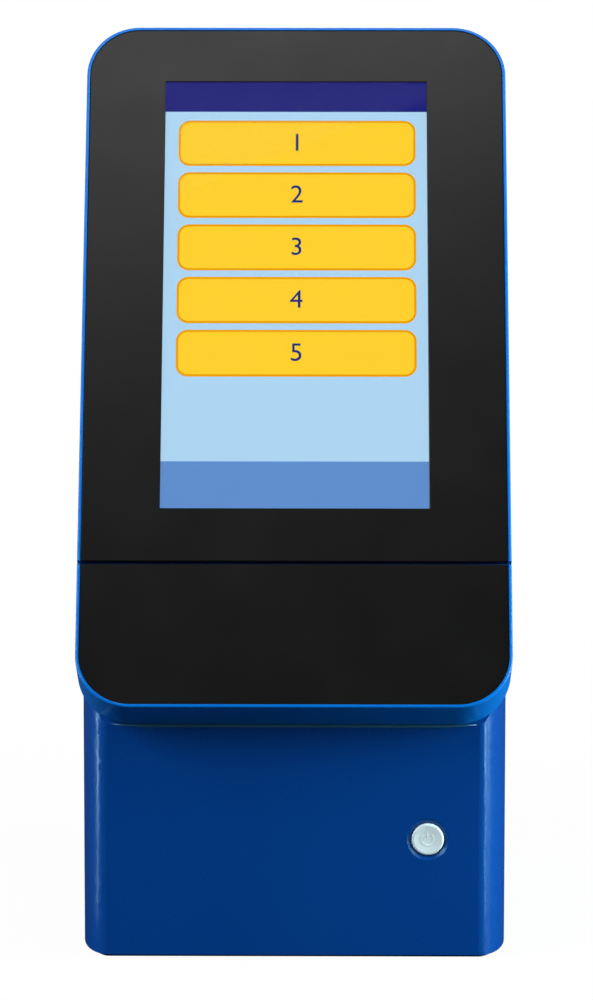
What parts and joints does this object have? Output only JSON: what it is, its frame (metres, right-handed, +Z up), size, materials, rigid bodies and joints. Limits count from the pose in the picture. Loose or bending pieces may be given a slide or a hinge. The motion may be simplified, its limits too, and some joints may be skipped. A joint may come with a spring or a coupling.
{
  "type": "benchtop chemistry analyzer",
  "caption": "Upright benchtop chemistry analyzer with a leaning touch screen, a loading drawer for test discs, an optical chamber and a slip printer.",
  "frame": {"origin": "on the bench, under the middle of the machine's outer box", "axes": "+Z up; the screen and drawer face -Y; +X to the right of someone facing the screen"},
  "size_m": [0.1524, 0.2058, 0.3238],
  "materials": {
    "housing_blue": "satin deep blue moulded ABS",
    "rim_blue": "bright blue gloss moulded edge",
    "panel_black": "fine satin black moulded panel",
    "screen_glass": "clear touch glass",
    "lcd": "lit display",
    "sheet_steel": "zinc plated sheet",
    "machined_aluminium": "turned and milled aluminium",
    "black_plastic": "moulded black plastic",
    "white_plastic": "natural white acetal",
    "tray_plastic": "moulded dark grey tray",
    "base_plastic": "moulded black base",
    "rubber": "soft rubber",
    "circuit_board": "green laminate with parts",
    "screw_steel": "plated screws",
    "motor_steel": "plated steel can",
    "button_silver": "pale silver button",
    "paper": "white thermal paper",
    "connector_metal": "plated connector shield"
  },
  "bodies": {
    "housing": {"main_shell": "housing_blue", "head_frame": "rim_blue", "front_panel": "panel_black", "touch_glass": "screen_glass", "lcd_module": "lcd", "display_board": "circuit_board", "base_plate": "base_plastic", "feet": "rubber", "chassis_deck": "sheet_steel", "left_rail": "white_plastic", "right_rail": "white_plastic", "drawer_motor": "motor_steel", "drawer_sensor": "black_plastic", "guide_posts": "machined_aluminium", "lift_actuator": "black_plastic", "heater_plate": "machined_aluminium", "chamber_standoffs": "machined_aluminium", "flash_lamp": "machined_aluminium", "lens_barrel": "black_plastic", "photometer": "black_plastic", "code_reader": "black_plastic", "button_switch": "black_plastic", "button_board": "circuit_board", "main_board": "circuit_board", "ethernet_socket": "connector_metal", "usb_sockets": "connector_metal", "power_inlet": "black_plastic", "speaker": "black_plastic", "fan_frame": "black_plastic", "door_hinge_pin": "screw_steel", "paper_roll": "paper", "printer_bucket": "black_plastic", "print_head": "machined_aluminium", "base_screws": "screw_steel", "board_screws": "screw_steel", "heater_screws": "screw_steel", "fan_screws": "screw_steel", "head_screws": "screw_steel"},
    "drawer": {"drawer_front": "rim_blue", "drawer_face": "panel_black", "drawer_tray": "tray_plastic", "drawer_rack": "white_plastic"},
    "pinion": {"drawer_pinion": "white_plastic"},
    "lift": {"motor_carriage": "machined_aluminium", "spindle_motor": "motor_steel", "lift_plunger": "machined_aluminium"},
    "spindle": {"spindle_shaft": "motor_steel", "spindle_hub": "machined_aluminium"},
    "button": {"power_button": "button_silver"},
    "paper_door": {"printer_door": "housing_blue"},
    "platen": {"platen_roller": "rubber"},
    "fan": {"fan_rotor": "black_plastic"}
  },
  "joints": [
    {"name": "drawer_slide", "type": "slide", "parent": "housing", "child": "drawer", "axis": [0, -1, 0], "range_m": [0, 0.108]},
    {"name": "pinion_turn", "type": "hinge", "parent": "housing", "child": "pinion", "pos_m": [0.05825, -0.045, 0.1], "axis": [0, 0, 1], "range_deg": [0, 690]},
    {"name": "lift_slide", "type": "slide", "parent": "housing", "child": "lift", "axis": [0, 0, 1], "range_m": [0, 0.007]},
    {"name": "spindle_turn", "type": "hinge", "parent": "lift", "child": "spindle", "pos_m": [0, -0.02, 0.1], "axis": [0, 0, 1], "continuous": true},
    {"name": "button_press", "type": "slide", "parent": "housing", "child": "button", "axis": [0, 1, 0], "range_m": [0, 0.0012], "stiffness_N_per_m": 900},
    {"name": "paper_door_swing", "type": "hinge", "parent": "housing", "child": "paper_door", "pos_m": [0, 0.1008, 0.265], "axis": [-1, 0, 0], "range_deg": [0, 95]},
    {"name": "platen_turn", "type": "hinge", "parent": "paper_door", "child": "platen", "pos_m": [0, 0.0505, 0.301], "axis": [1, 0, 0], "continuous": true},
    {"name": "fan_turn", "type": "hinge", "parent": "housing", "child": "fan", "pos_m": [0, 0.09, 0.165], "axis": [0, 1, 0], "continuous": true}
  ],
  "couplings": [
    {"joint": "pinion_turn", "follows": "drawer_slide", "rad_per_m": 111.11}
  ]
}
